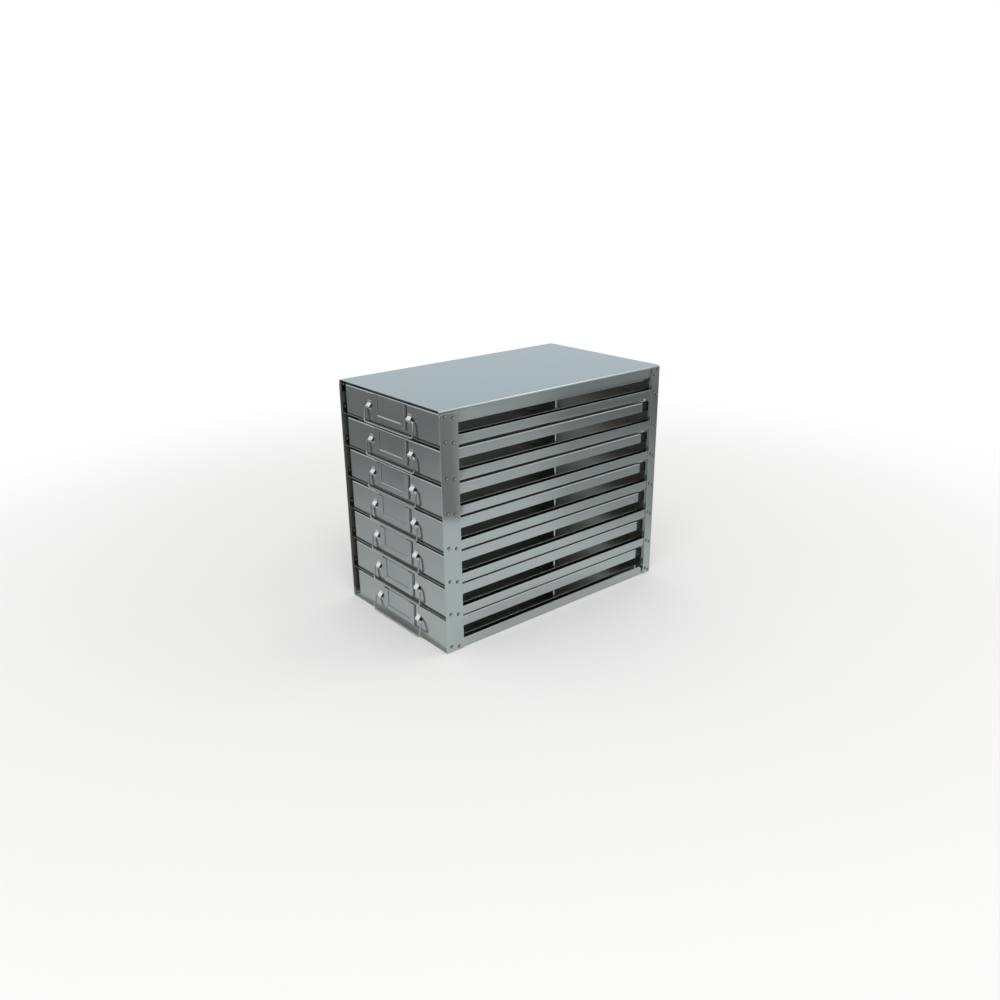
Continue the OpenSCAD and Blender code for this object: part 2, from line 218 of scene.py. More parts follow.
def rounded(corners, radius, steps=BEND_STEPS):
    """Points along a section with straight runs, each inner corner an arc of its radius."""
    corners = [Vector(corner) for corner in corners]
    radii = radius if isinstance(radius, (list, tuple)) else [radius] * (len(corners) - 2)
    path = [corners[0]]
    for before, corner, after, r in zip(corners, corners[1:], corners[2:], radii):
        into, out = (before - corner).normalized(), (after - corner).normalized()
        half = into.angle(out) / 2
        middle = corner + (into + out).normalized() * r / sin(half)
        start, end = (corner + side * r / tan(half) - middle for side in (into, out))
        path += [middle + start.slerp(end, step / steps).normalized() * r for step in range(steps + 1)]
    return path + [corners[-1]]


def split_at(path, axis, marks):
    """The path with a point more wherever it crosses a mark along the axis."""
    out = [path[0]]
    for a, b in zip(path, path[1:]):
        low, high = sorted((a[axis], b[axis]))
        inside = [m for m in marks if low + CLOSE < m < high - CLOSE]
        inside.sort(key=lambda m: abs(m - a[axis]))
        out += [a.lerp(b, (m - a[axis]) / (b[axis] - a[axis])) for m in inside] + [b]
    return out


def depthwise(u, v, t):
    return Vector((u, t, v))


def crosswise(u, v, t):
    return Vector((t, u, v))


def upright(u, v, t):
    return Vector((u, v, t))


def carry(section, stations, place, cut=lambda middle, station: False):
    """Points and faces of a section carried through the stations, less the faces that the cut takes out."""
    points = [place(p.x, p.y, t) for t in stations for p in section]
    faces = []
    for j in range(len(stations) - 1):
        for i in range(len(section) - 1):
            if not cut((section[i] + section[i + 1]) / 2, (stations[j] + stations[j + 1]) / 2):
                a, b = j * len(section) + i, (j + 1) * len(section) + i
                faces.append((a, a + 1, b + 1, b))
    return points, faces


def in_scene(name, data):
    """A new object in the scene with that data."""
    made = bpy.data.objects.new(name, data)
    bpy.context.scene.collection.objects.link(made)
    return made


def joined(name, grids):
    """One object of all the grids, with doubles merged and loose points dropped."""
    shape = bmesh.new()
    for points, faces in grids:
        made = [shape.verts.new(p) for p in points]
        for face in faces:
            shape.faces.new([made[i] for i in face])
    bmesh.ops.remove_doubles(shape, verts=shape.verts, dist=CLOSE)
    bmesh.ops.delete(shape, geom=[v for v in shape.verts if not v.link_faces], context="VERTS")
    mesh = bpy.data.meshes.new(name)
    shape.to_mesh(mesh)
    shape.free()
    mesh.shade_smooth()
    return in_scene(name, mesh)


def plain(piece):
    """The piece with its modifiers made into a plain mesh."""
    shown = piece.evaluated_get(bpy.context.evaluated_depsgraph_get())
    mesh = bpy.data.meshes.new_from_object(shown)
    old = piece.data
    piece.modifiers.clear()
    piece.data = mesh
    mesh.name = piece.name
    bpy.data.meshes.remove(old)


def sheet_piece(name, grids, thick, kind, offset=-1, outer=0):
    """A piece of sheet: the grids are its outer side, or its middle where the offset is 0.

    Where the outer side's distance from the middle is given, the faces within it are marked as dull: they
    take the steel's duller roughness and second tone, which is painted shade on shelves and front posts and
    painted light in the trays."""
    piece = joined(name, grids)
    wall = piece.modifiers.new("Wall", "SOLIDIFY")
    wall.thickness, wall.offset = thick, offset
    wall.use_even_offset = wall.use_quality_normals = True
    rim = piece.modifiers.new("Rim", "BEVEL")
    rim.width, rim.segments = bpy.context.scene.rack_frame.edge, 2
    rim.limit_method, rim.angle_limit = "ANGLE", SHEET_ANGLE
    piece.modifiers.new("Even", "WEIGHTED_NORMAL").keep_sharp = True
    plain(piece)
    piece.data.materials.clear()
    piece.data.materials.append(steel(kind))
    # Faces within the sheet are marked dull, which gives them painted shade on shelves and front posts and
    # painted light in the trays
    if outer:
        dull = piece.data.attributes.new("dull", "FLOAT", "FACE")
        for face in piece.data.polygons:
            dull.data[face.index].value = float(abs(face.center.x) < outer - INSIDE_SHARE * thick)
    return piece


def dress(piece, body, slot, *nodes):
    """Put the piece in the place of its nodes and on its body; the slot is not used."""
    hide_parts(*nodes)
    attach(piece, body)


def frame_piece(name, node, grids, thick, kind, outer=0):
    """A sheet of the frame in the place of its node."""
    piece = sheet_piece(name, grids, thick, kind, outer=outer)
    dress(piece, "frame", "frame_steel", node)
    return piece


def in_each_drawer(piece, part, slot):
    """Copies of the top drawer's piece in all the drawers, with their place in the mesh."""
    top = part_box("drawer_1_" + part)[1].z
    for n in DRAWERS:
        copy = piece
        if n > 1:
            copy = in_scene(f"{part}_{n}", piece.data.copy())
            copy.data.name = copy.name
            copy.data.transform(Matrix.Translation((0, 0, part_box(f"drawer_{n}_{part}")[1].z - top)))
        dress(copy, f"drawer_{n}", slot, f"drawer_{n}_{part}")


def add(tree, kind, inputs=(), output=0, **settings):
    """Add a node, set or link its inputs, and give one of its outputs, or the node itself if it has none."""
    made = tree.nodes.new(kind)
    for name, value in settings.items():
        setattr(made, name, value)
    for name, value in dict(inputs).items():
        if isinstance(value, bpy.types.NodeSocket):
            tree.links.new(value, made.inputs[name])
        else:
            made.inputs[name].default_value = value
    return made.outputs[output] if made.outputs else made


def material_tree(name):
    """A material by that name with an empty node tree, and its output node."""
    made = bpy.data.materials.new(name)
    made.use_nodes = True
    made.node_tree.nodes.clear()
    return made, made.node_tree, add(made.node_tree, "ShaderNodeOutputMaterial")


def span(value, start, end, low, high):
    """Inputs that turn a value between start and end into one between low and high."""
    return {"Value": value, "From Min": start, "From Max": end, "To Min": low, "To Max": high}


# A kind of steel. Tones and roughnesses name settings; the marked tone and dull roughness hold where the
# mesh is marked dull: painted shade on shelves and front posts, painted light in the trays, a darker rim on
# rivets.
# Grain is the pitch of its lines along X, Y and Z, and wave the depth of its slow waves, in millimetres.
# Spots is the share by which its roughness varies.
Steel = namedtuple("Steel", "name tone rough grain wave spots dull_tone dull_rough",
                   defaults=(0.06, 0.1, "", ""))
# The grain is drawn about a millimetre wide, as finer lines would not show at the picture's size
DEPTHWISE, UPRIGHT, DRAWN = (1.1, 60, 1.1), (1.1, 1.1, 60), (12, 0.8, 0.8)
SPOTS_PER_METRE, WAVES_PER_METRE = 22, 9
STEELS = {
    # Satin rolled sheet: soft reflections that stretch up and down on the flanges
    "panel": Steel("stainless_sheet_satin_rolled", "sheet_tone", "sheet_rough", DEPTHWISE),
    # The same on the shelves' flanges, dark on their two broad faces with painted shade that stands for the
    # shade in the gaps between the drawers
    "shelf": Steel("stainless_sheet_shelf_rolled", "sheet_tone", "sheet_rough", DEPTHWISE,
                   dull_tone="shelf_tone", dull_rough="inside_rough"),
    # The same on the trays' sides, duller on the floor and the inside, and lighter there with painted light
    # that stands for light falling into the trays
    "tray": Steel("stainless_sheet_tray_rolled", "sheet_tone", "sheet_rough", DEPTHWISE,
                  dull_tone="tray_tone", dull_rough="inside_rough"),
    # Bright rolled strip: soft reflections too, with the grain upright
    "post": Steel("stainless_strip_bright_rolled", "sheet_tone", "post_rough", UPRIGHT),
    # The same strip, dull on its inner side, with painted shade there that shows as a dark grey band beside
    # the fronts
    "front_post": Steel("stainless_strip_bright_rolled_front", "sheet_tone", "post_rough", UPRIGHT,
                        dull_tone="shelf_tone", dull_rough="post_inside_rough"),
    # Fine ground sheet, grain across the front: soft shades from top to bottom and fine lines
    "front": Steel("stainless_sheet_fine_ground", "front_tone", "front_rough", (90, 0.8, 0.8)),
    # Thin rolled sheet: like the fronts, a little darker with painted shade for the plate behind the lips,
    # and with light edges where the lips curve in
    "label": Steel("stainless_sheet_thin_rolled", "label_tone", "front_rough", (0.8, 0.8, 60)),
    # Drawn wire: small clear highlights along its length and fine drawing marks
    "wire": Steel("stainless_wire_drawn_bright", "wire_tone", "wire_rough", DRAWN, 0.03),
    # Pressed strap: the brightest steel here, with soft white upper sides
    "clip": Steel("stainless_strap_pressed_bright", "clip_tone", "wire_rough", DRAWN, 0.03),
    # Set rivets: a lighter middle that turns darker brown towards the rim
    "rivet": Steel("stainless_rivet_set", "rivet_tone", "rivet_rough", (0.9, 0.9, 0.9), 0.02, 0.25,
                   "rim_tone"),
}


def steel(kind):
    """The steel of that kind, made once: a grain of fine lines, worn spots and slow waves."""
    sort, finish = STEELS[kind], bpy.context.scene.rack_finish
    if sort.name in bpy.data.materials:
        return bpy.data.materials[sort.name]
    made, tree, out = material_tree(sort.name)
    place = add(tree, "ShaderNodeTexCoord", output="Object")
    fine = add(tree, "ShaderNodeMapping", {"Vector": place, "Scale": [1 / (p * MM) for p in sort.grain]})
    lines = add(tree, "ShaderNodeTexNoise", {"Vector": fine, "Scale": 1, "Detail": 3})
    cloud = add(tree, "ShaderNodeTexNoise", {"Vector": place, "Scale": SPOTS_PER_METRE, "Detail": 4})
    swell = add(tree, "ShaderNodeTexNoise", {"Vector": place, "Scale": WAVES_PER_METRE, "Detail": 0})
    even = getattr(finish, sort.rough)
    worn = add(tree, MAP_RANGE, span(cloud, 0.3, 0.7, even * (1 - sort.spots), even * (1 + sort.spots)))
    brushed = add(tree, MAP_RANGE, span(lines, 0.3, 0.7, -0.01, 0.01))
    rough = add(tree, MATH, {0: worn, 1: brushed}, operation="ADD", use_clamp=True)
    shade = add(tree, MAP_RANGE, span(lines, 0.25, 0.75, 0.97, 1.03))
    tone = add(tree, VECTOR_MATH, {0: tuple(getattr(finish, sort.tone)), "Scale": shade}, operation="SCALE")
    # Where the mesh is marked dull the tone turns to the marked one: painted shade on shelves and front
    # posts, painted light in the trays, darker brown towards a rivet's rim
    if sort.dull_tone:
        mark = add(tree, "ShaderNodeAttribute", output="Fac", attribute_name="dull")
        dull = add(tree, MAP_RANGE, span(mark, 0.35, 0.8, 0, 1), **SMOOTH)
        tone = add(tree, MIX, {
            "Factor": dull, 6: tone, 7: (*getattr(finish, sort.dull_tone), 1)}, 2, data_type="RGBA")
    if sort.dull_rough:
        rough = add(tree, MIX, {
            "Factor": dull, 2: rough, 3: getattr(finish, sort.dull_rough)}, data_type="FLOAT")
    bent = add(tree, "ShaderNodeBump", {"Strength": 1, "Distance": sort.wave * MM, "Height": swell})
    shader = add(tree, "ShaderNodeBsdfPrincipled", {
        "Base Color": tone, "Metallic": 1, "Roughness": rough, "Normal": bent})
    tree.links.new(shader, out.inputs["Surface"])
    return made


class RACK_OT_top_panel(bpy.types.Operator):
    """Make the top panel with its two folded side flanges"""
    bl_idname = "rack.top_panel"
    bl_label = "Top panel"

    def execute(self, context):
        sizes = context.scene.rack_frame
        low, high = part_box("top_panel")
        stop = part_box("post_rear_right")[0].y
        web = high.z - sizes.top_bend - sizes.notch_web
        bevel = low.z + sizes.notch_chamfer
        corners = [(low.x, low.z), (low.x, high.z), (high.x, high.z), (high.x, low.z)]
        section = split_at(rounded(corners, sizes.top_bend), 1, (web, bevel))
        notch = stop - sizes.notch

        def place(u, v, t):
            return Vector((u, t, bevel if abs(t - notch) < CLOSE and v < bevel else v))

        grid = carry(section, [low.y, notch - sizes.notch_chamfer, notch, stop, high.y], place,
                     lambda middle, y: notch < y < stop and middle.y < web)
        frame_piece("top_panel_sheet", "top_panel", [grid], sizes.sheet, "panel")
        return {"FINISHED"}


def floor_grids(low, high, thick, bend, sizes, notched):
    """Outer side of a floor sheet with side flanges and a rear lip that stops the drawer."""
    half = high.x - sizes.stop_inset
    slit = half + sizes.stop_relief
    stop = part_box("drawer_1_tray")[1].y + sizes.stop_gap
    root = stop + thick - bend
    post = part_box("post_rear_right")[0].y
    notch = post - sizes.notch
    web = low.z + sizes.top_bend + sizes.notch_web
    top = high.z
    bevel = top - sizes.notch_chamfer
    corners = [(high.x, top), (high.x, low.z), (low.x, low.z), (low.x, top)]
    section = split_at(rounded(corners, bend), 0, (-slit, -half, half, slit))
    section = split_at(section, 1, (web, bevel))

    def place(u, v, t):
        return Vector((u, t, bevel if notched and abs(t - notch) < CLOSE and v > bevel else v))

    def cut(middle, y):
        return (y > root and abs(middle.x) < slit and middle.y < low.z + CLOSE
                or notched and notch < y < post and middle.y > web)

    stations = sorted({low.y, notch - sizes.notch_chamfer, notch, post, root, high.y})
    hook = [(root, low.z), (stop + thick, low.z), (stop + thick, low.z + sizes.stop_height)]
    return [carry(section, stations, place, cut), carry(rounded(hook, bend), [-half, half], crosswise)]


class RACK_OT_shelves(bpy.types.Operator):
    """Make the bottom panel and the six shelves, each with flanges and a drawer stop"""
    bl_idname = "rack.shelves"
    bl_label = "Bottom panel and shelves"

    def execute(self, context):
        sizes = context.scene.rack_frame
        low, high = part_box("bottom_panel")
        grids = floor_grids(low, high, sizes.base_sheet, sizes.top_bend, sizes, True)
        piece = frame_piece("bottom_panel_sheet", "bottom_panel", grids, sizes.base_sheet, "shelf", high.x)
        # The rounding of the edges reaches a few hundredths of a millimetre below the sheet
        for point in piece.data.vertices:
            point.co.z = max(point.co.z, low.z)
        for n in SHELVES:
            low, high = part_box(f"shelf_{n}")
            grids = floor_grids(low, high, sizes.sheet, sizes.shelf_bend, sizes, False)
            frame_piece(f"shelf_sheet_{n}", f"shelf_{n}", grids, sizes.sheet, "shelf", high.x)
        return {"FINISHED"}


class RACK_OT_posts(bpy.types.Operator):
    """Make the four corner posts"""
    bl_idname = "rack.posts"
    bl_label = "Corner posts"

    def execute(self, context):
        sizes = context.scene.rack_frame
        for side, mirror in (("right", 1), ("left", -1)):
            low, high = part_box(f"post_front_{side}")
            outer = max(abs(low.x), abs(high.x)) * mirror
            corners = [(low.y, low.z), (low.y, high.z), (high.y, high.z)]
            outline = rounded(corners, sizes.post_corner) + [Vector((high.y, low.z))]
            points = [Vector((outer, p.x, p.y)) for p in outline]
            order = range(len(points)) if mirror < 0 else reversed(range(len(points)))
            grid = (points, [tuple(order)])
            frame_piece(f"front_post_{side}", f"post_front_{side}", [grid], sizes.post_sheet, "front_post",
                        abs(outer))
            low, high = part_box(f"post_rear_{side}")
            outer, inner = (high.x, low.x) if mirror > 0 else (low.x, high.x)
            corners = [(outer, low.y), (outer, high.y), (inner, high.y)][::mirror]
            grid = carry(rounded(corners, sizes.shelf_bend), [low.z, high.z], upright)
            frame_piece(f"rear_post_{side}", f"post_rear_{side}", [grid], sizes.post_sheet, "post")
        return {"FINISHED"}


def rivet_tree(material, sizes):
    """A node tree with the sizes as inputs, which sets a domed rivet on each point, turned outward."""
    tree = bpy.data.node_groups.new("Rivets", "GeometryNodeTree")
    tree.interface.new_socket("Geometry", in_out="INPUT", socket_type="NodeSocketGeometry")
    for name in sizes:
        tree.interface.new_socket(name, in_out="INPUT", socket_type="NodeSocketFloat")
    tree.interface.new_socket("Geometry", in_out="OUTPUT", socket_type="NodeSocketGeometry")
    given = add(tree, "NodeGroupInput").node.outputs
    disc = add(tree, "GeometryNodeMeshCylinder", {
        "Vertices": HEAD_SIDES, "Side Segments": 1, "Fill Segments": RINGS, "Radius": given["Radius"],
        "Depth": HEAD_SLICE}, fill_type="TRIANGLE_FAN")
    spot = add(tree, "GeometryNodeInputPosition")
    flat = add(tree, VECTOR_MATH, {0: spot, 1: (1, 1, 0)}, operation="MULTIPLY")
    reach = add(tree, VECTOR_MATH, {0: flat}, "Value", operation="LENGTH")
    share_out = add(tree, MATH, {0: reach, 1: given["Radius"]}, operation="DIVIDE")
    curve = add(tree, MATH, {0: share_out, 1: DOME_POWER}, operation="POWER")
    fall = add(tree, MATH, {0: curve, 1: -DOME_FALL, 2: 1}, operation="MULTIPLY_ADD")
    dome = add(tree, MATH, {0: fall, 1: given["Height"]}, operation="MULTIPLY")
    middle = add(tree, MATH, {0: share_out, 1: RECESS_SHARE}, operation="LESS_THAN")
    sunk = add(tree, MATH, {0: middle, 1: given["Recess"]}, operation="MULTIPLY")
    height = add(tree, MATH, {0: dome, 1: sunk}, operation="SUBTRACT")
    level = add(tree, "ShaderNodeSeparateXYZ", {0: spot}, "Z")
    upper = add(tree, MATH, {0: level, 1: 0}, operation="GREATER_THAN")
    raised = add(tree, MATH, {0: height, 1: upper}, operation="MULTIPLY")
    lifted = add(tree, "ShaderNodeCombineXYZ", {"Z": raised})
    moved = add(tree, VECTOR_MATH, {0: flat, 1: lifted}, operation="ADD")
    # The share out to the rim is marked dull, where the rivet turns darker brown
    marked = add(tree, "GeometryNodeStoreNamedAttribute", {
        "Geometry": disc, "Name": "dull", "Value": share_out}, data_type="FLOAT", domain="POINT")
    head = add(tree, "GeometryNodeSetPosition", {"Geometry": marked, "Position": moved})
    tail = add(tree, "GeometryNodeMeshCylinder", {
        "Vertices": TAIL_SIDES, "Radius": given["Tail Radius"],
        "Depth": given["Tail Height"]}, fill_type="TRIANGLE_FAN")
    below = add(tree, "ShaderNodeCombineXYZ", {"Z": given["Tail Level"]})
    set_tail = add(tree, "GeometryNodeTransform", {"Geometry": tail, "Translation": below})
    rivet = add(tree, "GeometryNodeJoinGeometry", {"Geometry": head})
    tree.links.new(set_tail, rivet.node.inputs["Geometry"])
    outward = add(tree, "GeometryNodeInputNamedAttribute", {"Name": "outward"}, data_type="FLOAT_VECTOR")
    turned = add(tree, "FunctionNodeAlignRotationToVector", {"Vector": outward}, axis="Z")
    placed = add(tree, "GeometryNodeInstanceOnPoints", {
        "Points": given["Geometry"], "Instance": rivet, "Rotation": turned})
    real = add(tree, "GeometryNodeRealizeInstances", {"Geometry": placed})
    coloured = add(tree, "GeometryNodeSetMaterial", {"Geometry": real, "Material": material})
    add(tree, "NodeGroupOutput", {0: coloured})
    return tree


class RACK_OT_rivets(bpy.types.Operator):
    """Set the rivets in staggered pairs at the four posts"""
    bl_idname = "rack.rivets"
    bl_label = "Rivets"

    def execute(self, context):
        sizes, sheets = context.scene.rack_rivet, context.scene.rack_frame
        levels = [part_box("top_panel")[1].z - sizes.top_drop]
        levels += [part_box(f"shelf_{n}")[0].z + sizes.shelf_rise for n in SHELVES] + [sizes.base_rise]
        front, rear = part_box("post_front_right")[0].y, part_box("post_rear_right")[1].y
        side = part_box("post_front_right")[1].x
        # The second ring is the first outside the recess, and so the highest
        dome = (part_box("rivets_front_right")[1].x - side) / (1 - DOME_FALL * (2 / RINGS) ** DOME_POWER)
        points = []
        for z in levels:
            turn = sizes.top_stagger if z == levels[0] else sizes.stagger
            spots = ((front + sizes.front_near, z + sizes.stagger),
                     (front + sizes.front_far, z - sizes.stagger),
                     (rear - sizes.rear_far, z + turn), (rear - sizes.rear_near, z - turn))
            points += [(x, y, height) for x in (-side, side) for y, height in spots]
        mesh = bpy.data.meshes.new("rivets")
        mesh.from_pydata(points, [], [])
        outward = mesh.attributes.new("outward", "FLOAT_VECTOR", "POINT")
        for entry, point in zip(outward.data, points):
            entry.vector = (1 if point[0] > 0 else -1, 0, 0)
        piece = in_scene("rivets", mesh)
        values = {"Radius": sizes.head / 2, "Height": dome, "Recess": sizes.recess,
                  "Tail Radius": sizes.tail / 2, "Tail Height": sizes.tail_height,
                  "Tail Level": -sizes.tail_height / 2 - sheets.post_sheet - sheets.sheet}
        tree = rivet_tree(steel("rivet"), values)
        modifier = piece.modifiers.new("Rivets", "NODES")
        modifier.node_group = tree
        for socket in tree.interface.items_tree:
            if socket.name in values:
                modifier[socket.identifier] = values[socket.name]
        plain(piece)
        if not piece.data.polygons:
            raise RuntimeError("The rivets came out empty")
        piece.data.shade_smooth()
        piece.data.set_sharp_from_angle(angle=RIVET_ANGLE)
        dress(piece, "frame", "rivet_steel", "rivets_front_left", "rivets_front_right", "rivets_rear_left",
              "rivets_rear_right")
        return {"FINISHED"}


class RACK_OT_trays(bpy.types.Operator):
    """Make the drawer trays with their windowed sides"""
    bl_idname = "rack.trays"
    bl_label = "Drawer trays"

    def execute(self, context):
        sizes, sheets = context.scene.rack_drawer, context.scene.rack_frame
        low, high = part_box("drawer_1_tray")
        sill = low.z + sizes.window_low
        head = sill + sizes.window_height
        wall_front = low.y + sizes.lip_floor
        begin, end = wall_front + sizes.window_front, high.y - sizes.window_rear
        fold = high.x - sizes.rail_fold
        corners = [(fold, high.z), (high.x, high.z), (high.x, low.z),
                   (low.x, low.z), (low.x, high.z), (-fold, high.z)]
        bends = [sizes.rail_bend, sizes.bend, sizes.bend, sizes.rail_bend]
        section = split_at(rounded(corners, bends), 1, (sill, head))
        body = carry(section, [wall_front, begin, end, high.y], depthwise,
                     lambda middle, y: begin < y < end and sill < middle.y < head)
        inside = high.x - sheets.sheet / 2
        rear = carry([Vector((inside, high.y)), Vector((-inside, high.y))],
                     [low.z + sizes.bend / 2, high.z - sheets.sheet / 2], upright)
        half = high.x - sizes.lip_inset
        hook = [(low.y, low.z + sizes.lip_height), (low.y, low.z), (wall_front, low.z)]
        lip = carry(rounded(hook, sizes.bend), [-half, half], crosswise)
        piece = sheet_piece("tray_1", [body, rear, lip], sheets.sheet, "tray", outer=high.x)
        in_each_drawer(piece, "tray", "drawer_steel")
        return {"FINISHED"}


class RACK_OT_fronts(bpy.types.Operator):
    """Make the drawer fronts, folded back at the top and both sides with rounded corners"""
    bl_idname = "rack.fronts"
    bl_label = "Drawer fronts"

    def execute(self, context):
        sizes, sheets = context.scene.rack_drawer, context.scene.rack_frame
        low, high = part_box("drawer_1_front")
        bend = sizes.front_bend
        half, top = high.x - bend, high.z - bend
        turn = [radians(90) * step / BEND_STEPS for step in range(BEND_STEPS + 1)]
        profile = [Vector((bend, sizes.side_return)), Vector((bend, sizes.top_return))]
        profile += [Vector((bend * sin(a), bend - bend * cos(a))) for a in reversed(turn)]
        stations = [(-half, low.z, -1, 0)]
        stations += [(-half, top, -cos(a), sin(a)) for a in turn]
        stations += [(half, top, sin(a), cos(a)) for a in turn]
        stations += [(half, low.z, 1, 0)]
        legs = (0, len(stations) - 2)

        def place(out, back, t):
            x, z, side, up = stations[int(t)]
            return Vector((x + out * side, low.y + back, z + out * up))

        rim = carry(profile, range(len(stations)), place,
                    lambda middle, t: middle.y > sizes.top_return and int(t) not in legs)
        face = [Vector((x, low.y, z)) for x, z in ((-half, low.z), (half, low.z), (half, top), (-half, top))]
        piece = sheet_piece("front_1", [rim, (face, [(0, 1, 2, 3)])], sheets.sheet, "front")
        in_each_drawer(piece, "front", "drawer_steel")
        return {"FINISHED"}


class RACK_OT_dividers(bpy.types.Operator):
    """Make the cross dividers with their side tabs and feet"""
    bl_idname = "rack.dividers"
    bl_label = "Dividers"

    def execute(self, context):
        sizes, sheets = context.scene.rack_drawer, context.scene.rack_frame
        low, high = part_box("drawer_1_divider")
        foot = low.z + sizes.divider_foot
        back = low.y + sizes.divider_tab
        plate = rounded([(low.x, back), (low.x, low.y), (high.x, low.y), (high.x, back)], sizes.bend)
        web = carry(plate, [foot, high.z], upright)
        half = high.x - sizes.foot_inset
        hook = rounded([(low.y, foot), (low.y, low.z), (high.y, low.z)], sizes.bend)
        piece = sheet_piece("divider_1", [web, carry(hook, [-half, half], crosswise)], sheets.sheet, "panel")
        in_each_drawer(piece, "divider", "drawer_steel")
        return {"FINISHED"}


class RACK_OT_label_holders(bpy.types.Operator):
    """Make the label holders, with three lips folded over their faces and mitred at the corners"""
    bl_idname = "rack.label_holders"
    bl_label = "Label holders"

    def execute(self, context):
        sizes = context.scene.rack_handle
        low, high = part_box("drawer_1_label_holder")
        hem, gap = sizes.label_hem, sizes.label_mitre
        bow = hem - sizes.label_sheet / 2
        side, sill = high.x - hem, low.z + hem
        inner, ledge = high.x - sizes.label_lip, low.z + sizes.label_base_lip
        back, front, middle = high.y - hem + bow, high.y - hem - bow, high.y - hem
        arc = [pi * step / HEM_STEPS for step in range(HEM_STEPS + 1)]
        ways = [step / CURL_STEPS for step in range(CURL_STEPS + 1)]
        curl = [(sizes.label_curl * (1 - way), sizes.label_curl_depth * way ** 2) for way in ways]
        slope = (ledge - sill) / (side - inner)

        def lip_side(mirror):
            path = [Vector((side + bow * sin(a), middle + bow * cos(a))) for a in arc]
            path += [Vector((inner + along, front + deep)) for along, deep in curl]
            if mirror < 0:
                path.reverse()

            def place(u, v, t):
                return Vector((u * mirror, v, high.z if t else sill + gap + max(0, side - u) * slope))
            return carry(path, [0, 1], place)

        def lip_base(u, v, t):
            return Vector((t * (side - gap - max(0, v - sill) / slope), u, v))

        path = [Vector((middle + bow * cos(a), sill - bow * sin(a))) for a in arc]
        path += [Vector((front + deep, ledge - along)) for along, deep in curl]
        outline = ((-side, sill + gap), (gap - side, sill), (side - gap, sill), (side, sill + gap),
                   (side, high.z), (-side, high.z))
        plate = [Vector((x, back, z)) for x, z in outline]
        grids = [lip_side(1), lip_side(-1), carry(path, [1, -1], lip_base), (plate, [(5, 4, 3, 2, 1, 0)])]
        piece = sheet_piece("label_holder_1", grids, sizes.label_sheet, "label", 0)
        in_each_drawer(piece, "label_holder", "drawer_steel")
        return {"FINISHED"}


class RACK_OT_clips(bpy.types.Operator):
    """Make the pairs of strap clips that hold the handles"""
    bl_idname = "rack.clips"
    bl_label = "Handle clips"

    def execute(self, context):
        sizes = context.scene.rack_handle
        low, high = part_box("drawer_1_clips")
        strap = sizes.clip_sheet
        back, front = high.y - strap / 2, low.y + strap / 2
        foot, top = low.z + sizes.clip_tab, high.z - sizes.clip_tab
        slope = (top - foot - sizes.clip_face) / (high.y - low.y)
        rise = top - strap / 2 * (1 + slope * slope) ** 0.5
        corners = [(back, low.z), (back, foot + strap / 2), (front, foot + strap / 2),
                   (front, rise - slope * (high.y - front)), (back, rise - slope * (high.y - back)),
                   (back, high.z)]
        path = rounded(corners, [strap * bend for bend in CLIP_BENDS], 4)
        wide = sizes.clip_width
        grids = [carry(path, [x, x + wide], crosswise) for x in (low.x, high.x - wide)]
        piece = sheet_piece("clips_1", grids, strap, "clip", 0)
        in_each_drawer(piece, "clips", "wire_steel")
        return {"FINISHED"}


def tube(path, radius, sides=20, chamfer=0.25):
    """Points and faces of a wire along a path in X and Z, with chamfered ends."""
    ends = chamfer * radius * 2
    first, last = (path[1] - path[0]).normalized(), (path[-1] - path[-2]).normalized()
    middles = [path[0], path[0] + first * ends] + path[1:-1] + [path[-1] - last * ends, path[-1]]
    radii = [radius - ends] + [radius] * (len(middles) - 2) + [radius - ends]
    points, faces = [], []
    for k, (middle, r) in enumerate(zip(middles, radii)):
        along = (middles[min(k + 1, len(middles) - 1)] - middles[max(k - 1, 0)]).normalized()
        for s in range(sides):
            a = 2 * pi * s / sides
            out = r * cos(a)
            points.append(Vector((middle.x - along.y * out, -r * sin(a), middle.y + along.x * out)))
    for k in range(len(middles) - 1):
        for s in range(sides):
            a, b = k * sides + s, k * sides + (s + 1) % sides
            faces.append((a, b, b + sides, a + sides))
    faces += [tuple(reversed(range(sides))), tuple(range(len(points) - sides, len(points)))]
    return points, faces


class RACK_OT_bails(bpy.types.Operator):
    """Make the wire handles, each hung in its clips"""
    bl_idname = "rack.bails"
    bl_label = "Wire handles"

    def execute(self, context):
        sizes = context.scene.rack_handle
        r = sizes.wire / 2
        low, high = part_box("drawer_1_bail")
        drop = hypot(high.z - low.z - 2 * r, high.y - low.y - 2 * r)
        reach = high.x - r
        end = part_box("drawer_1_clips")[1].x - sizes.clip_width + sizes.wire_end
        corners = [(end, 0), (reach, 0), (reach, -drop), (-reach, -drop), (-reach, 0), (-end, 0)]
        bends = [sizes.bail_bend, sizes.bail_corner, sizes.bail_corner, sizes.bail_bend]
        wire = tube(rounded(corners, bends, 8), r)
        for n in DRAWERS:
            low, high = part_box(f"drawer_{n}_bail")
            lean = atan2(high.y - low.y - 2 * r, high.z - low.z - 2 * r)
            piece = joined(f"bail_{n}", [wire])
            place = Matrix.Translation((0, high.y - r, high.z - r)) @ Matrix.Rotation(-lean, 4, "X")
            piece.data.transform(place)
            piece.data.set_sharp_from_angle(angle=WIRE_ANGLE)
            piece.data.materials.append(steel("wire"))
            dress(piece, f"bail_{n}", "wire_steel", f"drawer_{n}_bail")
        return {"FINISHED"}


def stage_mesh(name, points, faces, material):
    """A stage object with its own mesh and material."""
    mesh = bpy.data.meshes.new(name)
    mesh.from_pydata(points, [], faces)
    mesh.materials.append(material)
    made = in_scene(name, mesh)
    return made


